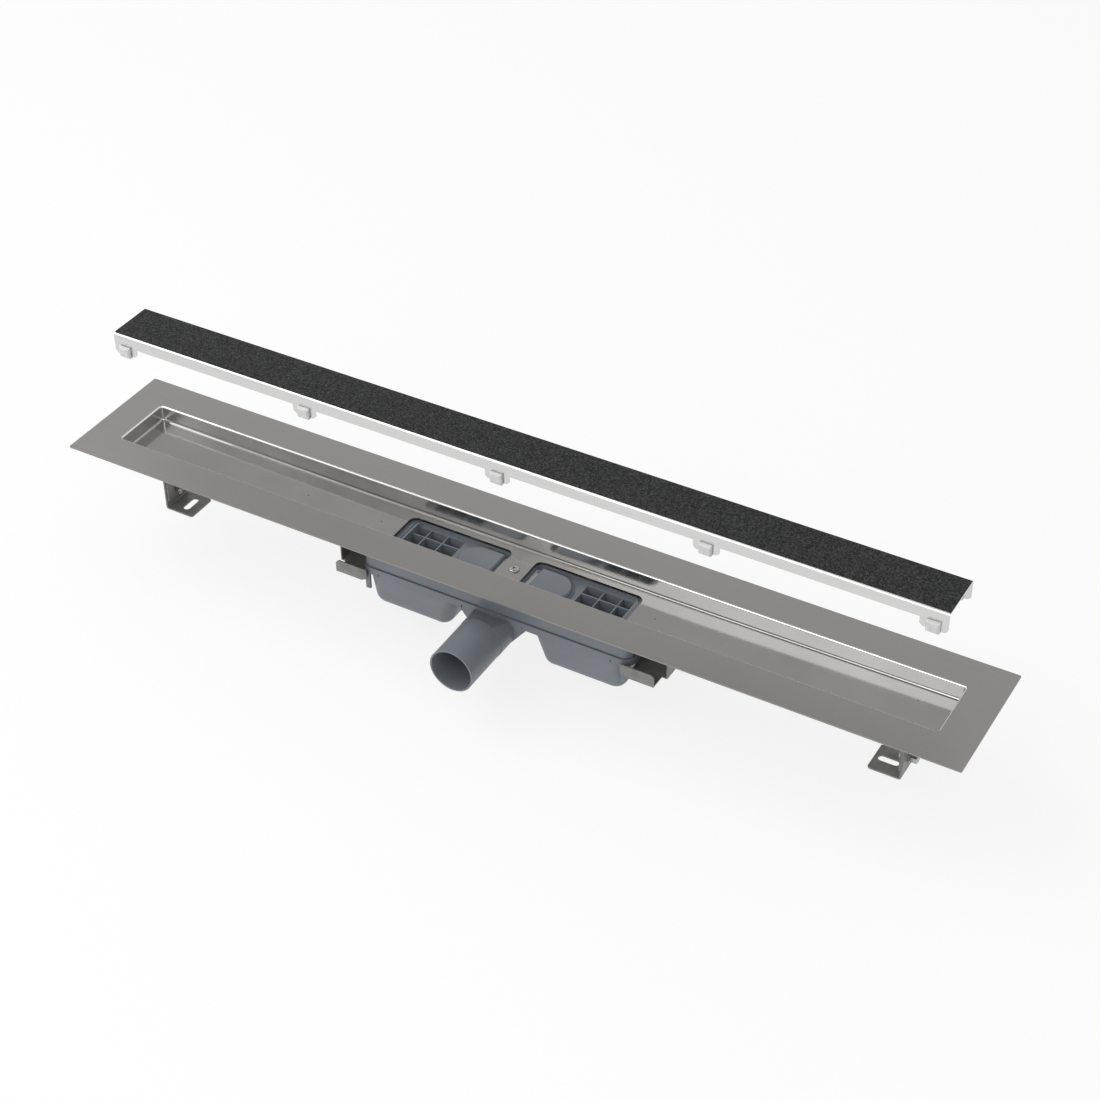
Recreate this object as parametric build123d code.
from build123d import *
from math import acos, atan2, cos, hypot, sin
import os

# Linear channel drain with a twin-basin water trap under it. Sizes are in
# millimetres. The origin is the centre of the trough's mouth, in the plane of
# the flange's top face: +X runs along the channel, +Z is up, and the outlet
# leaves towards -Y. Left means -X and right means +X.

# Tray, folded from one sheet
tray_length = 1040.0
tray_width = 152.0
sheet = 1.5
flange_end = 40.0
flange_side = 41.0
mouth_bend = 2.0
floor_depth_end = 18.5
floor_depth_middle = 20.7
floor_flat_length = 400.0
trough_corner = 3.0
flange_corner = 1.5
opening_inner = 14.5
opening_end_margin = 21.5
opening_width = 50.0
opening_corner = 8.0

# Centre screw and the insert it bites in
screw_radius = 3.0
screw_head_radius = 5.8
screw_head_height = 2.5
screw_head_round = 0.9
recess_length = 6.4
recess_width = 1.3
screw_length = 16.0
screw_clearance = 0.4
insert_radius = 5.0
insert_length = 11.0
thread_gap = 0.05

# Gasket between the trough and the trap
gasket_thickness = 3.0
gasket_end_margin = 10.0
gasket_side = 7.5
gasket_margin = 2.0

# Trap housing: an upper collar and a lower body that meet at a seam
housing_length = 322.0
housing_width = 92.0
housing_corner = 12.0
housing_wall = 2.5
collar_inset = 1.5
collar_height = 18.3
groove_height = 1.5
groove_depth = 0.8
upper_rim_height = 4.1
lower_rim_height = 4.6
top_plate = 3.0
boss_radius = 8.0
boss_length = 13.0
seal_section = 2.0
seal_inset = 1.6

# Basins, tapered towards their rounded bottoms
basin_inner = 43.9
basin_end_margin = 5.7
basin_side_margin = 1.0
basin_inner_draft = 15.2
basin_end_draft = 6.5
basin_side_draft = 1.6
basin_depth = 40.8
basin_corner = 13.5
basin_bottom_bend = 14.5
lug_end_margin = 8.0
lug_length = 5.5
lug_thickness = 2.5
lug_drop = 20.0
notch_inner = 36.0
notch_end_margin = 22.0
notch_width = 2.2
notch_height = 3.6
notch_depth = 1.2

# Outlet chamber between the basins, and the spigot that leaves it
chamber_half = 40.5
chamber_front_margin = 1.0
chamber_back_margin = 6.0
weir_web = 2.5
outlet_radius = 25.0
outlet_wall = 1.8
neck_step = 0.4
outlet_drop = 10.3
outlet_length = 81.0
relief_length = 23.0
relief_step = 4.0
relief_end_step = 10.5

# Lift-out strainers with their trap bells and clips
strainer_inner = 12.5
strainer_end_margin = 27.0
strainer_overlap = 3.5
strainer_corner = 9.0
strainer_rim = 1.5
strainer_wall = 1.5
strainer_fit = 0.5
tub_cut = 4.0
deck_drop = 4.8
deck_thickness = 1.5
cell_pitch_x = 21.1
cell_pitch_y = 20.0
cell_end = 15.7
cell_rows = 3
rib = 1.5
grid_border = 2.5
grid_depth = 12.0
grid_taper = 3.0
grid_corner = 2.5
baffle_thickness = 2.0
baffle_depth = 42.0
bell_radius = 21.0
bell_end = 22.5
bell_middle = 45.0
bell_wall = 2.0
bell_rise = 6.0
bell_drop = 14.0
bell_flange = 2.0
bell_flange_thickness = 1.2
bell_bevel = 1.6
bell_fit = 0.3
clip_width = 6.5
clip_length = 40.0
clip_thickness = 1.0
clip_slot = 3.0
clip_bay_width = 30.0

# Clamp brackets that hold the housing's ends up to the trough
clamp_sheet = 1.5
clamp_drop = 6.8
clamp_overlap = 3.0
clamp_reach = 29.0
clamp_web_reach = 35.0
clamp_web_width = 65.0
clamp_side_gap = 3.0
clamp_lip_height = 15.0
clamp_lip_chamfer = 3.5
clamp_lip_reach = 6.5
clamp_lip_step = 3.5
clamp_seat_width = 60.0
stud_gap = 0.5
stud_radius = 2.5
stud_tail = 3.0
nut5_flats = 8.0
nut5_height = 4.0
nut5_flange = 1.0
nut5_flange_radius = 5.0
hole_clearance = 0.3

# Adjustable feet, hung from the trough by welded brackets
hanger_sheet = 2.0
hanger_inset = 38.0
hanger_flange = 22.0
hanger_width = 34.0
hanger_below_bolt = 7.5
foot_sheet = 2.0
foot_gap = 0.2
foot_length = 35.7
foot_width = 37.0
foot_below_housing = 0.5
foot_bend = 3.0
foot_corner = 2.0
foot_top_gap = 4.0
foot_bolt_height = 17.5
foot_travel = 42.0
foot_slot_width = 8.2
foot_slot_length = 22.4
foot_slot_inset = 20.4
bolt_radius = 3.0
bolt_flats = 10.0
bolt_head_height = 7.5
bolt_tail = 1.3
nut6_height = 5.2
washer6_radius = 6.4
washer6_thickness = 1.6

# Cover, shown lifted off the trough
cover_end_gap = 5.0
cover_side_gap = 6.6
cover_sheet = 1.5
cover_bend = 3.0
cover_top = 134.8
cover_side_height = 13.1
strip_thickness = 1.2
strip_margin = 2.9
leg_count = 5
leg_width = 28.0
leg_drop = 10.0
leg_chamfer = 3.0
pad_width = 14.0
pad_height = 13.0
pad_thickness = 4.2
pad_sole = 1.9
pad_jaw = 2.0
pad_jaw_height = 9.0
pad_bevel = 1.8

# Levels and places that follow from the sizes above
mouth_length = tray_length - 2 * flange_end
mouth_width = tray_width - 2 * flange_side
floor_under = -floor_depth_middle - sheet
housing_top = floor_under - gasket_thickness
groove_top = housing_top - collar_height
upper_rim_top = groove_top - groove_height
seam = upper_rim_top - upper_rim_height
rim_bottom = seam - lower_rim_height
weir_top = rim_bottom + weir_web
housing_bottom = rim_bottom - basin_depth
housing_end = housing_length / 2
housing_side = housing_width / 2
opening_length = housing_end - opening_end_margin - opening_inner
opening_middle = opening_inner + opening_length / 2
strainer_length = housing_end - strainer_end_margin - strainer_inner
strainer_middle = strainer_inner + strainer_length / 2
strainer_width = opening_width + 2 * strainer_overlap
strainer_ledge = housing_top - strainer_rim
deck_top = housing_top - deck_drop
tub_end = strainer_inner + strainer_length - strainer_rim - strainer_wall
bell_reach = bell_middle + bell_radius + bell_flange
cell_columns = 1 + int((tub_end - cell_end - bell_reach - baffle_thickness) / cell_pitch_x)
grid_start = tub_end - cell_end - (cell_columns - 1) * cell_pitch_x
outlet_axis = rim_bottom - outlet_drop
outlet_bore = outlet_radius - outlet_wall
neck_radius = outlet_radius + neck_step
chamber_front = -housing_side + chamber_front_margin
clamp_floor_top = rim_bottom - clamp_drop
clamp_inner = housing_end - clamp_overlap
clamp_width = housing_width + 2 * (clamp_side_gap + clamp_sheet)
stud_place = housing_end + stud_gap + stud_radius
foot_bottom = housing_bottom - foot_below_housing
bolt_axis = foot_bottom + foot_bolt_height
hanger_face = mouth_length / 2 - hanger_inset
foot_inner_face = hanger_face + foot_gap
foot_outer_face = foot_inner_face + foot_sheet
cover_length = mouth_length - 2 * cover_end_gap
cover_width = mouth_width - 2 * cover_side_gap
sides = {"left": -1, "right": 1}


def floor_depth(x):
    """Depth of the trough's floor, which falls from both ends to a flat middle."""
    slope_start = floor_flat_length / 2
    slope_end = mouth_length / 2
    share = max(0.0, abs(x) - slope_start) / (slope_end - slope_start)
    return floor_depth_middle - (floor_depth_middle - floor_depth_end) * share


def place(side, shape):
    """A shape drawn on the right, or its mirror image on the left."""
    return shape if side > 0 else mirror(shape, about=Plane.YZ)


def slab(length, width, top, bottom, corner=0.0, middle=0.0):
    """An upright block with rounded corners, from top down to bottom."""
    outline = RectangleRounded(length, width, corner) if corner > 0 else Rectangle(length, width)
    return extrude(Plane.XY.offset(bottom) * Pos(middle, 0) * outline, top - bottom)


def cut_slab(length, width, top, bottom, cut, middle=0.0):
    """An upright block with its corners cut off straight."""
    outline = chamfer(Rectangle(length, width).vertices(), cut)
    return extrude(Plane.XY.offset(bottom) * Pos(middle, 0) * outline, top - bottom)


def rod(radius, start, length, axis="z", cross=(0.0, 0.0)):
    """A cylinder that starts at a place on its axis and runs the positive way."""
    planes = {
        "x": Plane(origin=(start, cross[0], cross[1]), z_dir=(1, 0, 0)),
        "y": Plane(origin=(cross[0], start, cross[1]), z_dir=(0, 1, 0)),
        "z": Plane(origin=(cross[0], cross[1], start), z_dir=(0, 0, 1)),
    }
    return extrude(planes[axis] * Circle(radius), length)


def hexagon(flats, start, length, axis="z", cross=(0.0, 0.0)):
    """A hexagonal prism, measured across its flats."""
    if axis == "x":
        plane = Plane(origin=(start, cross[0], cross[1]), z_dir=(1, 0, 0))
    else:
        plane = Plane(origin=(cross[0], cross[1], start), z_dir=(0, 0, 1))
    return extrude(plane * RegularPolygon(flats / 2, 6, major_radius=False), length)


def facing_front(x, y, z):
    """A drawing plane that faces -Y, with X to its right."""
    return Plane(origin=(x, y, z), x_dir=(1, 0, 0), z_dir=(0, -1, 0))


def trough_block(grow, top):
    """The trough's inside as a solid, or its outside when grown by the sheet."""
    half = mouth_length / 2 + grow
    flat = floor_flat_length / 2
    end_depth = floor_depth(half) + grow
    middle_depth = floor_depth_middle + grow
    outline = Polyline(
        (-half, top), (-half, -end_depth), (-flat, -middle_depth),
        (flat, -middle_depth), (half, -end_depth), (half, top), close=True,
    )
    block = extrude(Plane.XZ * make_face(outline), mouth_width / 2 + grow, both=True)
    block = fillet(block.edges().filter_by(Axis.Z), trough_corner + grow)
    under = [e for e in block.edges() if e.center().Z < trough_corner - floor_depth_end]
    rounded = [e for e in under if abs(abs(e.center().X) - flat) > 1 or e.length < mouth_width / 2]
    return fillet(rounded, trough_corner + grow)


def channel_tray():
    """Flange and trough, with the two floor openings and the screw hole."""
    flange = slab(tray_length, tray_width, 0, -sheet, flange_corner)
    tray = flange + trough_block(sheet, -sheet / 2) - trough_block(0, 1)
    mouth = [e for e in tray.edges() if abs(e.center().Z) < 0.01
             and abs(e.center().X) < mouth_length / 2 + 1 and abs(e.center().Y) < mouth_width / 2 + 1]
    tray = fillet(mouth, mouth_bend)
    for side in sides.values():
        tray -= slab(opening_length, opening_width, 0, floor_under - 1, opening_corner, side * opening_middle)
    return tray - rod(screw_radius + screw_clearance, floor_under - 1, floor_depth_middle)


def tray_gasket():
    """Flat rubber frame round both floor openings."""
    gasket = slab(
        housing_length - 2 * gasket_end_margin, opening_width + 2 * gasket_side, floor_under, housing_top)
    for side in sides.values():
        gasket -= slab(
            opening_length + 2 * gasket_margin, opening_width + 2 * gasket_margin,
            floor_under, housing_top, opening_corner + gasket_margin, side * opening_middle,
        )
    return gasket - rod(screw_radius + screw_clearance, housing_top, gasket_thickness)


def upper_housing():
    """Collar with the two strainer seats, a centre boss and a rim at the seam."""
    collar_length = housing_length - 2 * collar_inset
    collar_width = housing_width - 2 * collar_inset
    collar_corner = housing_corner - collar_inset
    collar = slab(collar_length, collar_width, housing_top, groove_top, collar_corner)
    groove = slab(
        collar_length - 2 * groove_depth, collar_width - 2 * groove_depth,
        groove_top, upper_rim_top, collar_corner - groove_depth,
    )
    rim = slab(housing_length, housing_width, upper_rim_top, seam, housing_corner)
    inset = collar_inset + housing_wall + groove_depth
    cavity = slab(housing_length - 2 * inset, housing_width - 2 * inset, housing_top - top_plate, seam)
    housing = collar + groove + rim - cavity
    for side in sides.values():
        middle = side * strainer_middle
        seat_length = strainer_length + 2 * strainer_fit
        seat_width = strainer_width + 2 * strainer_fit
        housing -= slab(seat_length, seat_width, housing_top, strainer_ledge, strainer_corner, middle)
        housing -= cut_slab(
            seat_length - 2 * strainer_rim, seat_width - 2 * strainer_rim,
            strainer_ledge, housing_top - top_plate, tub_cut, middle,
        )
    housing += rod(boss_radius, housing_top - top_plate - boss_length, boss_length + top_plate / 2)
    housing -= rod(screw_radius + screw_clearance, housing_top - boss_length, boss_length)
    housing -= rod(insert_radius, housing_top - top_plate / 2 - insert_length, insert_length)
    return housing - seam_groove()


def seam_groove():
    """Ring of square section in the seam, for the seal."""
    outer_inset = seal_inset
    inner_inset = seal_inset + seal_section
    ring = slab(
        housing_length - 2 * outer_inset, housing_width - 2 * outer_inset,
        seam + seal_section, seam, housing_corner - outer_inset,
    )
    return ring - slab(
        housing_length - 2 * inner_inset, housing_width - 2 * inner_inset,
        seam + seal_section, seam, housing_corner - inner_inset,
    )


def side_outline(inner, outer, inner_draft, outer_draft, inset):
    """An outline that narrows from the weir's level to the bottom."""
    bottom = housing_bottom + inset
    fall = 1 - inset / basin_depth
    low_inner = inner + inset + inner_draft * fall
    low_outer = outer - inset - outer_draft * fall
    return make_face(Polyline(
        (inner + inset, weir_top), (outer - inset, weir_top), (low_outer, bottom), (low_inner, bottom),
        close=True,
    ))


def basin(inset):
    """One basin on the right, tapered on all sides; the bends are the moulding's."""
    outer = housing_end - basin_end_margin
    half = housing_side - basin_side_margin
    along = side_outline(basin_inner, outer, basin_inner_draft, basin_end_draft, inset)
    across = side_outline(-half, half, basin_side_draft, basin_side_draft, inset)
    body = extrude(Plane.XZ * along, half, both=True) & extrude(Plane.YZ * across, outer)
    corners = [e for e in body.edges() if e.bounding_box().size.Z > basin_depth / 2]
    if inset == 0:
        body = fillet(corners, basin_corner)
        return fillet(body.faces().sort_by(Axis.Z)[0].edges(), basin_bottom_bend)
    body = chamfer(corners, basin_corner / 2)
    return chamfer(body.faces().sort_by(Axis.Z)[0].edges(), basin_bottom_bend / 2)


def outlet_circle(radius):
    """Front view of the outlet's round bore or outside."""
    return Pos(0, outlet_axis) * Circle(radius)


def outlet_chamber(inset):
    """Chamber between the basins: straight sides that run down tangent to the outlet."""
    half = chamber_half - inset
    radius = neck_radius - inset
    reach = hypot(half, outlet_drop)
    turn = atan2(outlet_drop, half) - acos(radius / reach)
    low_x, low_z = radius * cos(turn), outlet_axis + radius * sin(turn)
    outline = Polyline(
        (-half, weir_top), (half, weir_top), (half, rim_bottom), (low_x, low_z), (-low_x, low_z),
        (-half, rim_bottom), close=True,
    )
    above = Pos(0, weir_top + neck_radius) * Rectangle(2 * neck_radius, 2 * neck_radius)
    section = make_face(outline) + (outlet_circle(radius) - above)
    back = housing_side - chamber_back_margin - inset
    return extrude(facing_front(0, back, 0) * section, back - chamber_front - inset)


def along_outlet(radius, end):
    """A round bar on the outlet's axis, from the chamber's front wall out to a place on Y."""
    start = chamber_front + housing_wall
    return extrude(facing_front(0, start, 0) * outlet_circle(radius), start - end)


def crown_relief(inset):
    """What is cut off the outlet's crown, so that it passes under the rim."""
    shoulder = -housing_side - relief_length - inset
    start = chamber_front + housing_wall
    crown = outlet_axis + outlet_radius
    above = crown + housing_wall
    low = crown - relief_end_step - inset
    outline = Polyline(
        (shoulder, above), (shoulder, crown - relief_step - inset), (chamber_front, low), (start, low),
        (start, above), close=True,
    )
    return extrude(Plane.YZ * make_face(outline), neck_radius, both=True)


def lower_housing():
    """Lower rim, both basins, the outlet chamber and the spigot, as one moulding."""
    body = slab(housing_length, housing_width, seam, rim_bottom, housing_corner)
    neck = along_outlet(neck_radius, -housing_side - relief_length)
    spigot_end = chamber_front - outlet_length
    body += outlet_chamber(0) + (neck + along_outlet(outlet_radius, spigot_end) - crown_relief(0))
    for side in sides.values():
        body += place(side, basin(0))
        for front in (-1, 1):
            lug = Pos(side * (housing_end - lug_end_margin), front * (housing_side - lug_thickness / 2),
                      rim_bottom - lug_drop / 2)
            body += lug * Box(lug_length, lug_thickness, lug_drop)
            for place_x in (notch_inner, housing_end - notch_end_margin):
                notch = Pos(side * place_x, front * housing_side, rim_bottom)
                body -= notch * Box(notch_width, 2 * notch_depth, 2 * notch_height)
    inset = collar_inset + housing_wall + groove_depth
    body -= slab(housing_length - 2 * inset, housing_width - 2 * inset, seam, weir_top)
    body -= outlet_chamber(housing_wall)
    for side in sides.values():
        body -= place(side, basin(housing_wall))
    return body - (along_outlet(outlet_bore, spigot_end - 1) - crown_relief(outlet_wall))


def bell_outline(radius, end):
    """Plan of a trap bell: straight towards the screw, round towards the grid."""
    straight = Pos((end + bell_middle) / 2, 0) * Rectangle(bell_middle - end, 2 * radius)
    return straight + Pos(bell_middle, 0) * Circle(radius)


def strainer():
    """Lift-out strainer on the right: rim, tub, deck, deep grid and baffle."""
    inner_length = strainer_length - 2 * strainer_rim
    inner_width = strainer_width - 2 * strainer_rim
    deck_bottom = deck_top - deck_thickness
    rim_top = strainer_ledge + strainer_rim - strainer_fit
    body = slab(strainer_length, strainer_width, rim_top, strainer_ledge, strainer_corner, strainer_middle)
    body += cut_slab(inner_length, inner_width, rim_top, deck_bottom, tub_cut, strainer_middle)
    tub_width = inner_width - 2 * strainer_wall
    body -= cut_slab(
        inner_length - 2 * strainer_wall, tub_width, rim_top, deck_top, tub_cut - strainer_wall / 2,
        strainer_middle,
    )
    grid_end = tub_end + strainer_wall
    grid_length = grid_end - grid_start + baffle_thickness
    grid = slab(grid_length, tub_width, deck_top, deck_top - grid_depth, 0, grid_end - grid_length / 2)
    far_corners = [e for e in grid.edges().filter_by(Axis.Z) if e.center().X > grid_start]
    body += chamfer(far_corners, grid_corner)
    for column in range(cell_columns):
        for row in range(cell_rows):
            body -= grid_cell(column, row, tub_width - 2 * grid_border)
    body += slab(
        baffle_thickness, tub_width, deck_top, deck_top - baffle_depth, 0,
        grid_start - baffle_thickness / 2,
    )
    bell_hole = Plane.XY.offset(deck_bottom) * bell_outline(bell_radius + bell_fit, bell_end - bell_fit)
    body -= extrude(bell_hole, deck_thickness)
    clip_bay = bell_end - (strainer_middle - inner_length / 2 + strainer_wall)
    return body - slab(clip_bay, clip_bay_width, deck_top, deck_bottom, 0, bell_end - clip_bay / 2)


def grid_cell(column, row, width):
    """One tapered cell of the grid, cut through its depth."""
    low_x = grid_start + column * cell_pitch_x + rib / 2
    high_x = min(tub_end, grid_start + (column + 1) * cell_pitch_x - rib / 2)
    side = row - (cell_rows - 1) / 2
    low_y = max(-width / 2, (side - 0.5) * cell_pitch_y + rib / 2)
    high_y = min(width / 2, (side + 0.5) * cell_pitch_y - rib / 2)
    mouth = Plane.XY.offset(deck_top) * Pos((low_x + high_x) / 2, (low_y + high_y) / 2)
    return extrude(mouth * Rectangle(high_x - low_x, high_y - low_y), -grid_depth, taper=grid_taper)


def trap_bell():
    """Hollow bell on the right that stands in the strainer's deck."""
    outside = extrude(
        Plane.XY.offset(deck_top - bell_drop) * bell_outline(bell_radius, bell_end), bell_drop + bell_rise)
    crown = outside.faces().sort_by(Axis.Z)[-1]
    outside = chamfer(crown.edges(), bell_bevel)
    inside = extrude(
        Plane.XY.offset(deck_top - bell_drop) * bell_outline(bell_radius - bell_wall, bell_end + bell_wall),
        bell_drop + bell_rise - bell_wall,
    )
    seat_plan = bell_outline(bell_radius + bell_flange, bell_end)
    seat_plan -= Pos(bell_end - bell_radius, 0) * Rectangle(2 * bell_radius, 4 * bell_radius)
    seat = extrude(Plane.XY.offset(deck_top) * seat_plan, bell_flange_thickness)
    return outside + seat - inside


def strainer_clip():
    """Spring clip on the right, a strip with a forked end at each side."""
    inner_end = strainer_middle - strainer_length / 2 + strainer_rim + strainer_wall
    middle = (inner_end + bell_end) / 2
    width = min(clip_width, bell_end - inner_end - 2 * bell_fit)
    clip = slab(width, clip_length, deck_top + clip_thickness, deck_top, 0, middle)
    for front in (-1, 1):
        slot = Pos(middle, front * (clip_length / 2 - clip_slot), deck_top + clip_thickness / 2)
        clip -= slot * Box(width / 2, clip_slot, clip_thickness)
    return clip


def centre_screw():
    """Pan-head screw with a cross recess."""
    seat = -floor_depth_middle
    head = rod(screw_head_radius, seat, screw_head_height)
    head = chamfer(head.edges().sort_by(Axis.Z)[-1], screw_head_round)
    screw = head + rod(screw_radius, seat - screw_length, screw_length)
    for turn in (0, 90):
        slot = Pos(0, 0, seat + screw_head_height) * Rot(0, 0, turn)
        screw -= slot * Box(recess_length, recess_width, screw_head_height)
    return screw


def threaded_insert():
    """Brass sleeve moulded into the housing's boss."""
    bottom = housing_top - top_plate / 2 - insert_length
    return rod(insert_radius, bottom, insert_length) - rod(screw_radius + thread_gap, bottom, insert_length)


def clamp_bracket():
    """Folded cradle on the right: floor, end web, two lips and a bearing edge."""
    bottom = clamp_floor_top - clamp_sheet
    clamp_outer = housing_end + clamp_reach
    clamp_web_outer = housing_end + clamp_web_reach
    length = clamp_outer - clamp_inner
    floor = slab(length, clamp_width, clamp_floor_top, bottom, 0, (clamp_inner + clamp_outer) / 2)
    web_length = clamp_web_outer - clamp_inner
    floor += slab(web_length, clamp_web_width, clamp_floor_top, bottom, 0, clamp_inner + web_length / 2)
    web = slab(clamp_sheet, clamp_web_width, floor_under, bottom, 0, clamp_web_outer - clamp_sheet / 2)
    bracket = floor + web
    bracket += slab(clamp_sheet, clamp_seat_width, rim_bottom, bottom, 0, clamp_inner + clamp_sheet / 2)
    lip_top = bottom + clamp_lip_height
    outline = Polyline(
        (clamp_outer, bottom), (clamp_outer, lip_top - clamp_lip_chamfer),
        (clamp_outer - clamp_lip_chamfer, lip_top), (clamp_inner - clamp_lip_reach, lip_top),
        (clamp_inner - clamp_lip_reach, bottom + clamp_lip_step), (clamp_inner, bottom), close=True,
    )
    lip = extrude(Plane.XZ * make_face(outline), clamp_sheet / 2, both=True)
    for front in (-1, 1):
        bracket += Pos(0, front * (clamp_width - clamp_sheet) / 2, 0) * lip
    return bracket - rod(stud_radius + hole_clearance, bottom, clamp_sheet, "z", (stud_place, 0))


def clamp_stud():
    """Threaded stud on the right, welded under the trough's floor."""
    bottom = clamp_floor_top - clamp_sheet - nut5_flange - nut5_height - stud_tail
    return rod(stud_radius, bottom, floor_under - bottom, "z", (stud_place, 0))


def clamp_nut():
    """Hexagon nut with a flange on the right-hand stud."""
    top = clamp_floor_top - clamp_sheet
    height = nut5_flange + nut5_height
    nut = rod(nut5_flange_radius, top - nut5_flange, nut5_flange, "z", (stud_place, 0))
    nut += hexagon(nut5_flats, top - height, nut5_height, "z", (stud_place, 0))
    return nut - rod(stud_radius + thread_gap, top - height, height, "z", (stud_place, 0))


def foot_hanger():
    """Angle bracket on the right, welded under the trough with its tab hanging down."""
    inner = hanger_face - hanger_flange
    tab = hanger_face - hanger_sheet
    outline = Polyline(
        (hanger_face, -floor_depth(hanger_face) - sheet), (hanger_face, bolt_axis - hanger_below_bolt),
        (tab, bolt_axis - hanger_below_bolt), (tab, -floor_depth(tab) - sheet - hanger_sheet),
        (inner, -floor_depth(inner) - sheet - hanger_sheet), (inner, -floor_depth(inner) - sheet), close=True,
    )
    hanger = extrude(Plane.XZ * make_face(outline), hanger_width / 2, both=True)
    return hanger - rod(bolt_radius + hole_clearance, tab, hanger_sheet, "x", (0, bolt_axis))


def foot_bracket(slot_turn):
    """Sliding angle foot on the right: upright with a slot, base with a floor slot."""
    top = floor_under - foot_top_gap
    inner_end = foot_outer_face - foot_length
    outline = Polyline(
        (inner_end, foot_bottom), (foot_outer_face, foot_bottom), (foot_outer_face, top),
        (foot_inner_face, top), (foot_inner_face, foot_bottom + foot_sheet),
        (inner_end, foot_bottom + foot_sheet), close=True,
    )
    foot = extrude(Plane.XZ * make_face(outline), foot_width / 2, both=True)
    outer = foot.edges().filter_by(Axis.Y).sort_by_distance((foot_outer_face, 0, foot_bottom))[0]
    foot = fillet(outer, foot_bend)
    inner = foot.edges().filter_by(Axis.Y).sort_by_distance((foot_inner_face, 0, foot_bottom + foot_sheet))[0]
    foot = fillet(inner, foot_bend - foot_sheet)
    corners = [e for e in foot.edges().filter_by(Axis.Z) if abs(e.center().X - inner_end) < 0.01]
    corners += [e for e in foot.edges().filter_by(Axis.X) if abs(e.center().Z - top) < 0.01]
    foot = chamfer(corners, foot_corner)
    base_slot = Pos(foot_outer_face - foot_slot_inset, 0, foot_bottom + foot_sheet / 2) * Rot(0, 0, slot_turn)
    foot -= base_slot * extrude(SlotOverall(foot_slot_length, foot_slot_width), foot_sheet, both=True)
    slot_length = foot_travel + 2 * (bolt_radius + hole_clearance) + 1
    slot_middle = bolt_axis + foot_travel / 2
    upright = Plane(origin=(foot_inner_face, 0, slot_middle), x_dir=(0, 0, 1), z_dir=(1, 0, 0))
    slot = upright * SlotOverall(slot_length, 2 * (bolt_radius + hole_clearance))
    return foot - extrude(slot, foot_sheet)


def foot_bolt():
    """Hexagon bolt on the right, along the channel, through the foot and its hanger."""
    head_start = foot_outer_face + foot_gap + washer6_thickness
    tip = hanger_face - hanger_sheet - nut6_height - bolt_tail
    shank = rod(bolt_radius, tip, head_start - tip, "x", (0, bolt_axis))
    return shank + hexagon(bolt_flats, head_start, bolt_head_height, "x", (0, bolt_axis))


def foot_nut():
    """Nut on the inner side of the right-hand hanger."""
    start = hanger_face - hanger_sheet - nut6_height
    nut = hexagon(bolt_flats, start, nut6_height, "x", (0, bolt_axis))
    return nut - rod(bolt_radius + thread_gap, start, nut6_height, "x", (0, bolt_axis))


def foot_washer():
    """Washer between the right-hand foot and its bolt's head."""
    start = foot_outer_face + foot_gap
    washer = rod(washer6_radius, start, washer6_thickness, "x", (0, bolt_axis))
    return washer - rod(bolt_radius + hole_clearance, start, washer6_thickness, "x", (0, bolt_axis))


def leg_places():
    """Middles of the cover's legs along X, the end ones flush with its ends."""
    first = -(cover_length - leg_width) / 2
    step = (cover_length - leg_width) / (leg_count - 1)
    return [first + step * index for index in range(leg_count)]


def cover_profile():
    """Cover folded from one sheet: flat top, two sides and the legs' tabs."""
    top = cover_top - strip_thickness
    side_bottom = top - cover_side_height
    outer = Plane.YZ * Pos(0, top - cover_side_height / 2) * Rectangle(cover_width, cover_side_height)
    block = extrude(outer, cover_length / 2, both=True)
    ridge = [e for e in block.edges().filter_by(Axis.X) if e.center().Z > top - 0.01]
    block = fillet(ridge, cover_bend)
    inner_width = cover_width - 2 * cover_sheet
    inner = Pos(0, top - cover_sheet - cover_side_height / 2) * Rectangle(inner_width, cover_side_height)
    hollow = extrude(Plane.YZ * inner, cover_length / 2 + 1, both=True)
    ridge = [e for e in hollow.edges().filter_by(Axis.X) if e.center().Z > top - cover_sheet - 0.01]
    profile = block - fillet(ridge, cover_bend - cover_sheet)
    tab = Rectangle(leg_width, leg_drop + cover_sheet)
    for middle in leg_places():
        for front in (-1, 1):
            face_y = front * (cover_width - cover_sheet) / 2
            plane = facing_front(middle, face_y, side_bottom - (leg_drop - cover_sheet) / 2)
            leg = extrude(plane * tab, cover_sheet / 2, both=True)
            low = [e for e in leg.edges().filter_by(Axis.Y) if e.center().Z < side_bottom - leg_drop + 0.01]
            profile += chamfer(low, leg_chamfer)
    return profile


def cover_strip():
    """Thin black strip bonded to the cover's flat top."""
    return slab(cover_length, cover_width - 2 * strip_margin, cover_top, cover_top - strip_thickness)


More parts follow.
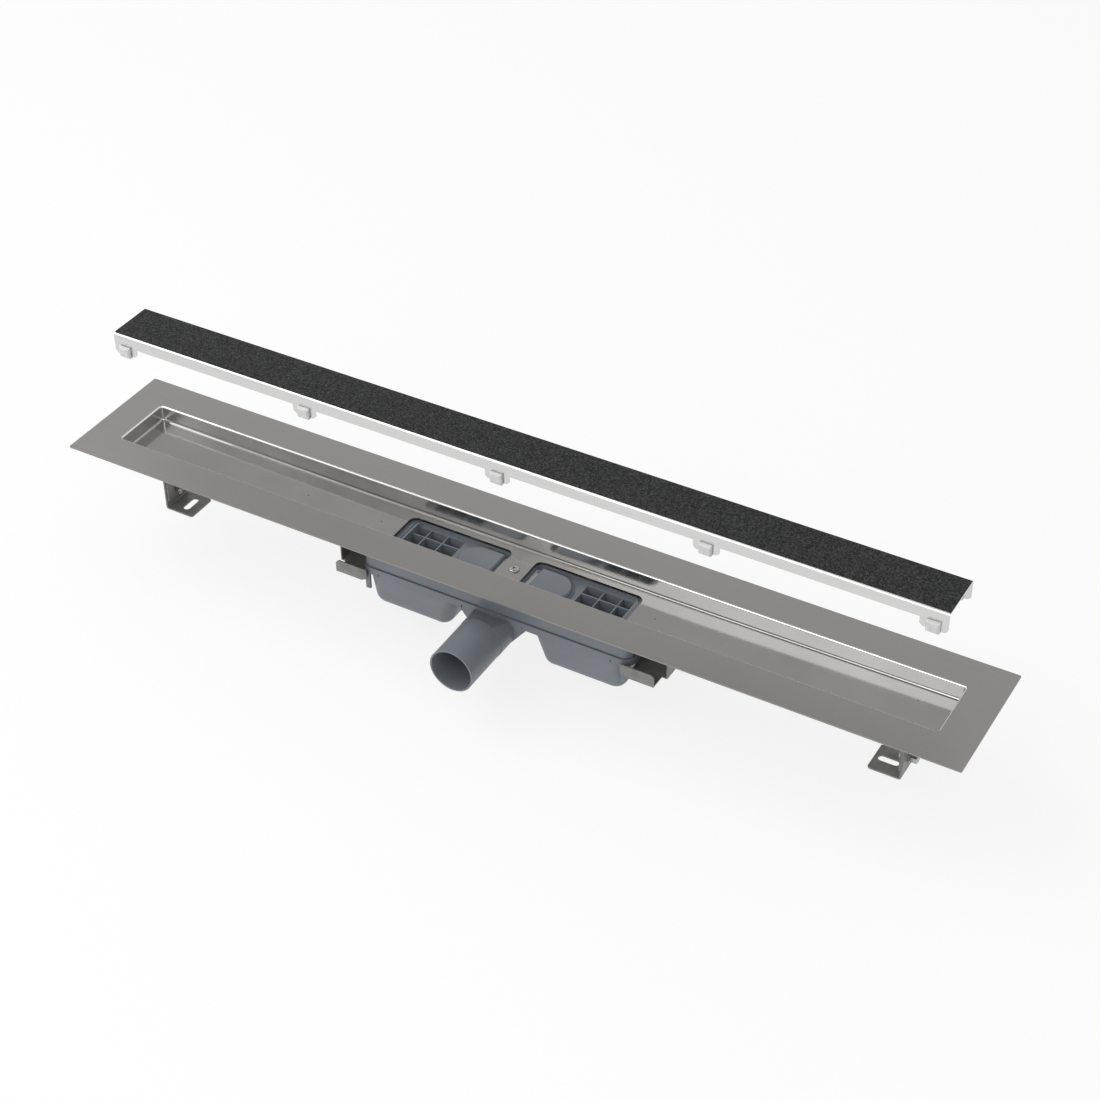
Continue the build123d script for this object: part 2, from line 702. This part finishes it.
def cover_pad(middle, front):
    """Plastic shoe on one leg, with a bulging outer pad that centres the cover."""
    leg_bottom = cover_top - strip_thickness - cover_side_height - leg_drop
    bottom = leg_bottom - pad_sole
    face = cover_width / 2
    thickness = pad_thickness + cover_sheet + pad_jaw
    shoe = Pos(middle, -face - pad_thickness + thickness / 2, bottom + pad_height / 2)
    shoe = shoe * Box(pad_width, thickness, pad_height)
    outer = shoe.faces().sort_by(Axis.Y)[0]
    shoe = chamfer(outer.edges(), pad_bevel)
    tab = Pos(middle, -face + cover_sheet / 2, leg_bottom + pad_height / 2)
    shoe -= tab * Box(pad_width, cover_sheet, pad_height)
    over_jaw = Pos(middle, -face + cover_sheet + pad_jaw / 2, bottom + pad_jaw_height + pad_height / 2)
    shoe -= over_jaw * Box(pad_width, pad_jaw, pad_height)
    return shoe if front else mirror(shoe, about=Plane.XZ)


def all_parts():
    """Every piece by its name."""
    parts = {
        "channel_tray": channel_tray(),
        "tray_gasket": tray_gasket(),
        "upper_housing": upper_housing(),
        "housing_seal": seam_groove(),
        "lower_housing": lower_housing(),
        "centre_screw": centre_screw(),
        "threaded_insert": threaded_insert(),
        "cover_profile": cover_profile(),
        "cover_strip": cover_strip(),
    }
    paired = {
        "strainer": strainer(), "trap_bell": trap_bell(), "strainer_clip": strainer_clip(),
        "clamp_bracket": clamp_bracket(), "clamp_stud": clamp_stud(), "clamp_nut": clamp_nut(),
        "foot_hanger": foot_hanger(), "foot_bolt": foot_bolt(),
        "foot_nut": foot_nut(), "foot_washer": foot_washer(),
    }
    for word, side in sides.items():
        for name, shape in paired.items():
            parts[f"{name}_{word}"] = place(side, shape)
        parts[f"foot_bracket_{word}"] = place(side, foot_bracket(90 if side < 0 else 0))
    for index, middle in enumerate(leg_places(), start=1):
        parts[f"cover_pad_front_{index}"] = cover_pad(middle, True)
        parts[f"cover_pad_back_{index}"] = cover_pad(middle, False)
    return parts


os.makedirs("parts", exist_ok=True)
for name, shape in all_parts().items():
    shape.label = name
    export_step(shape, f"parts/{name}.step")
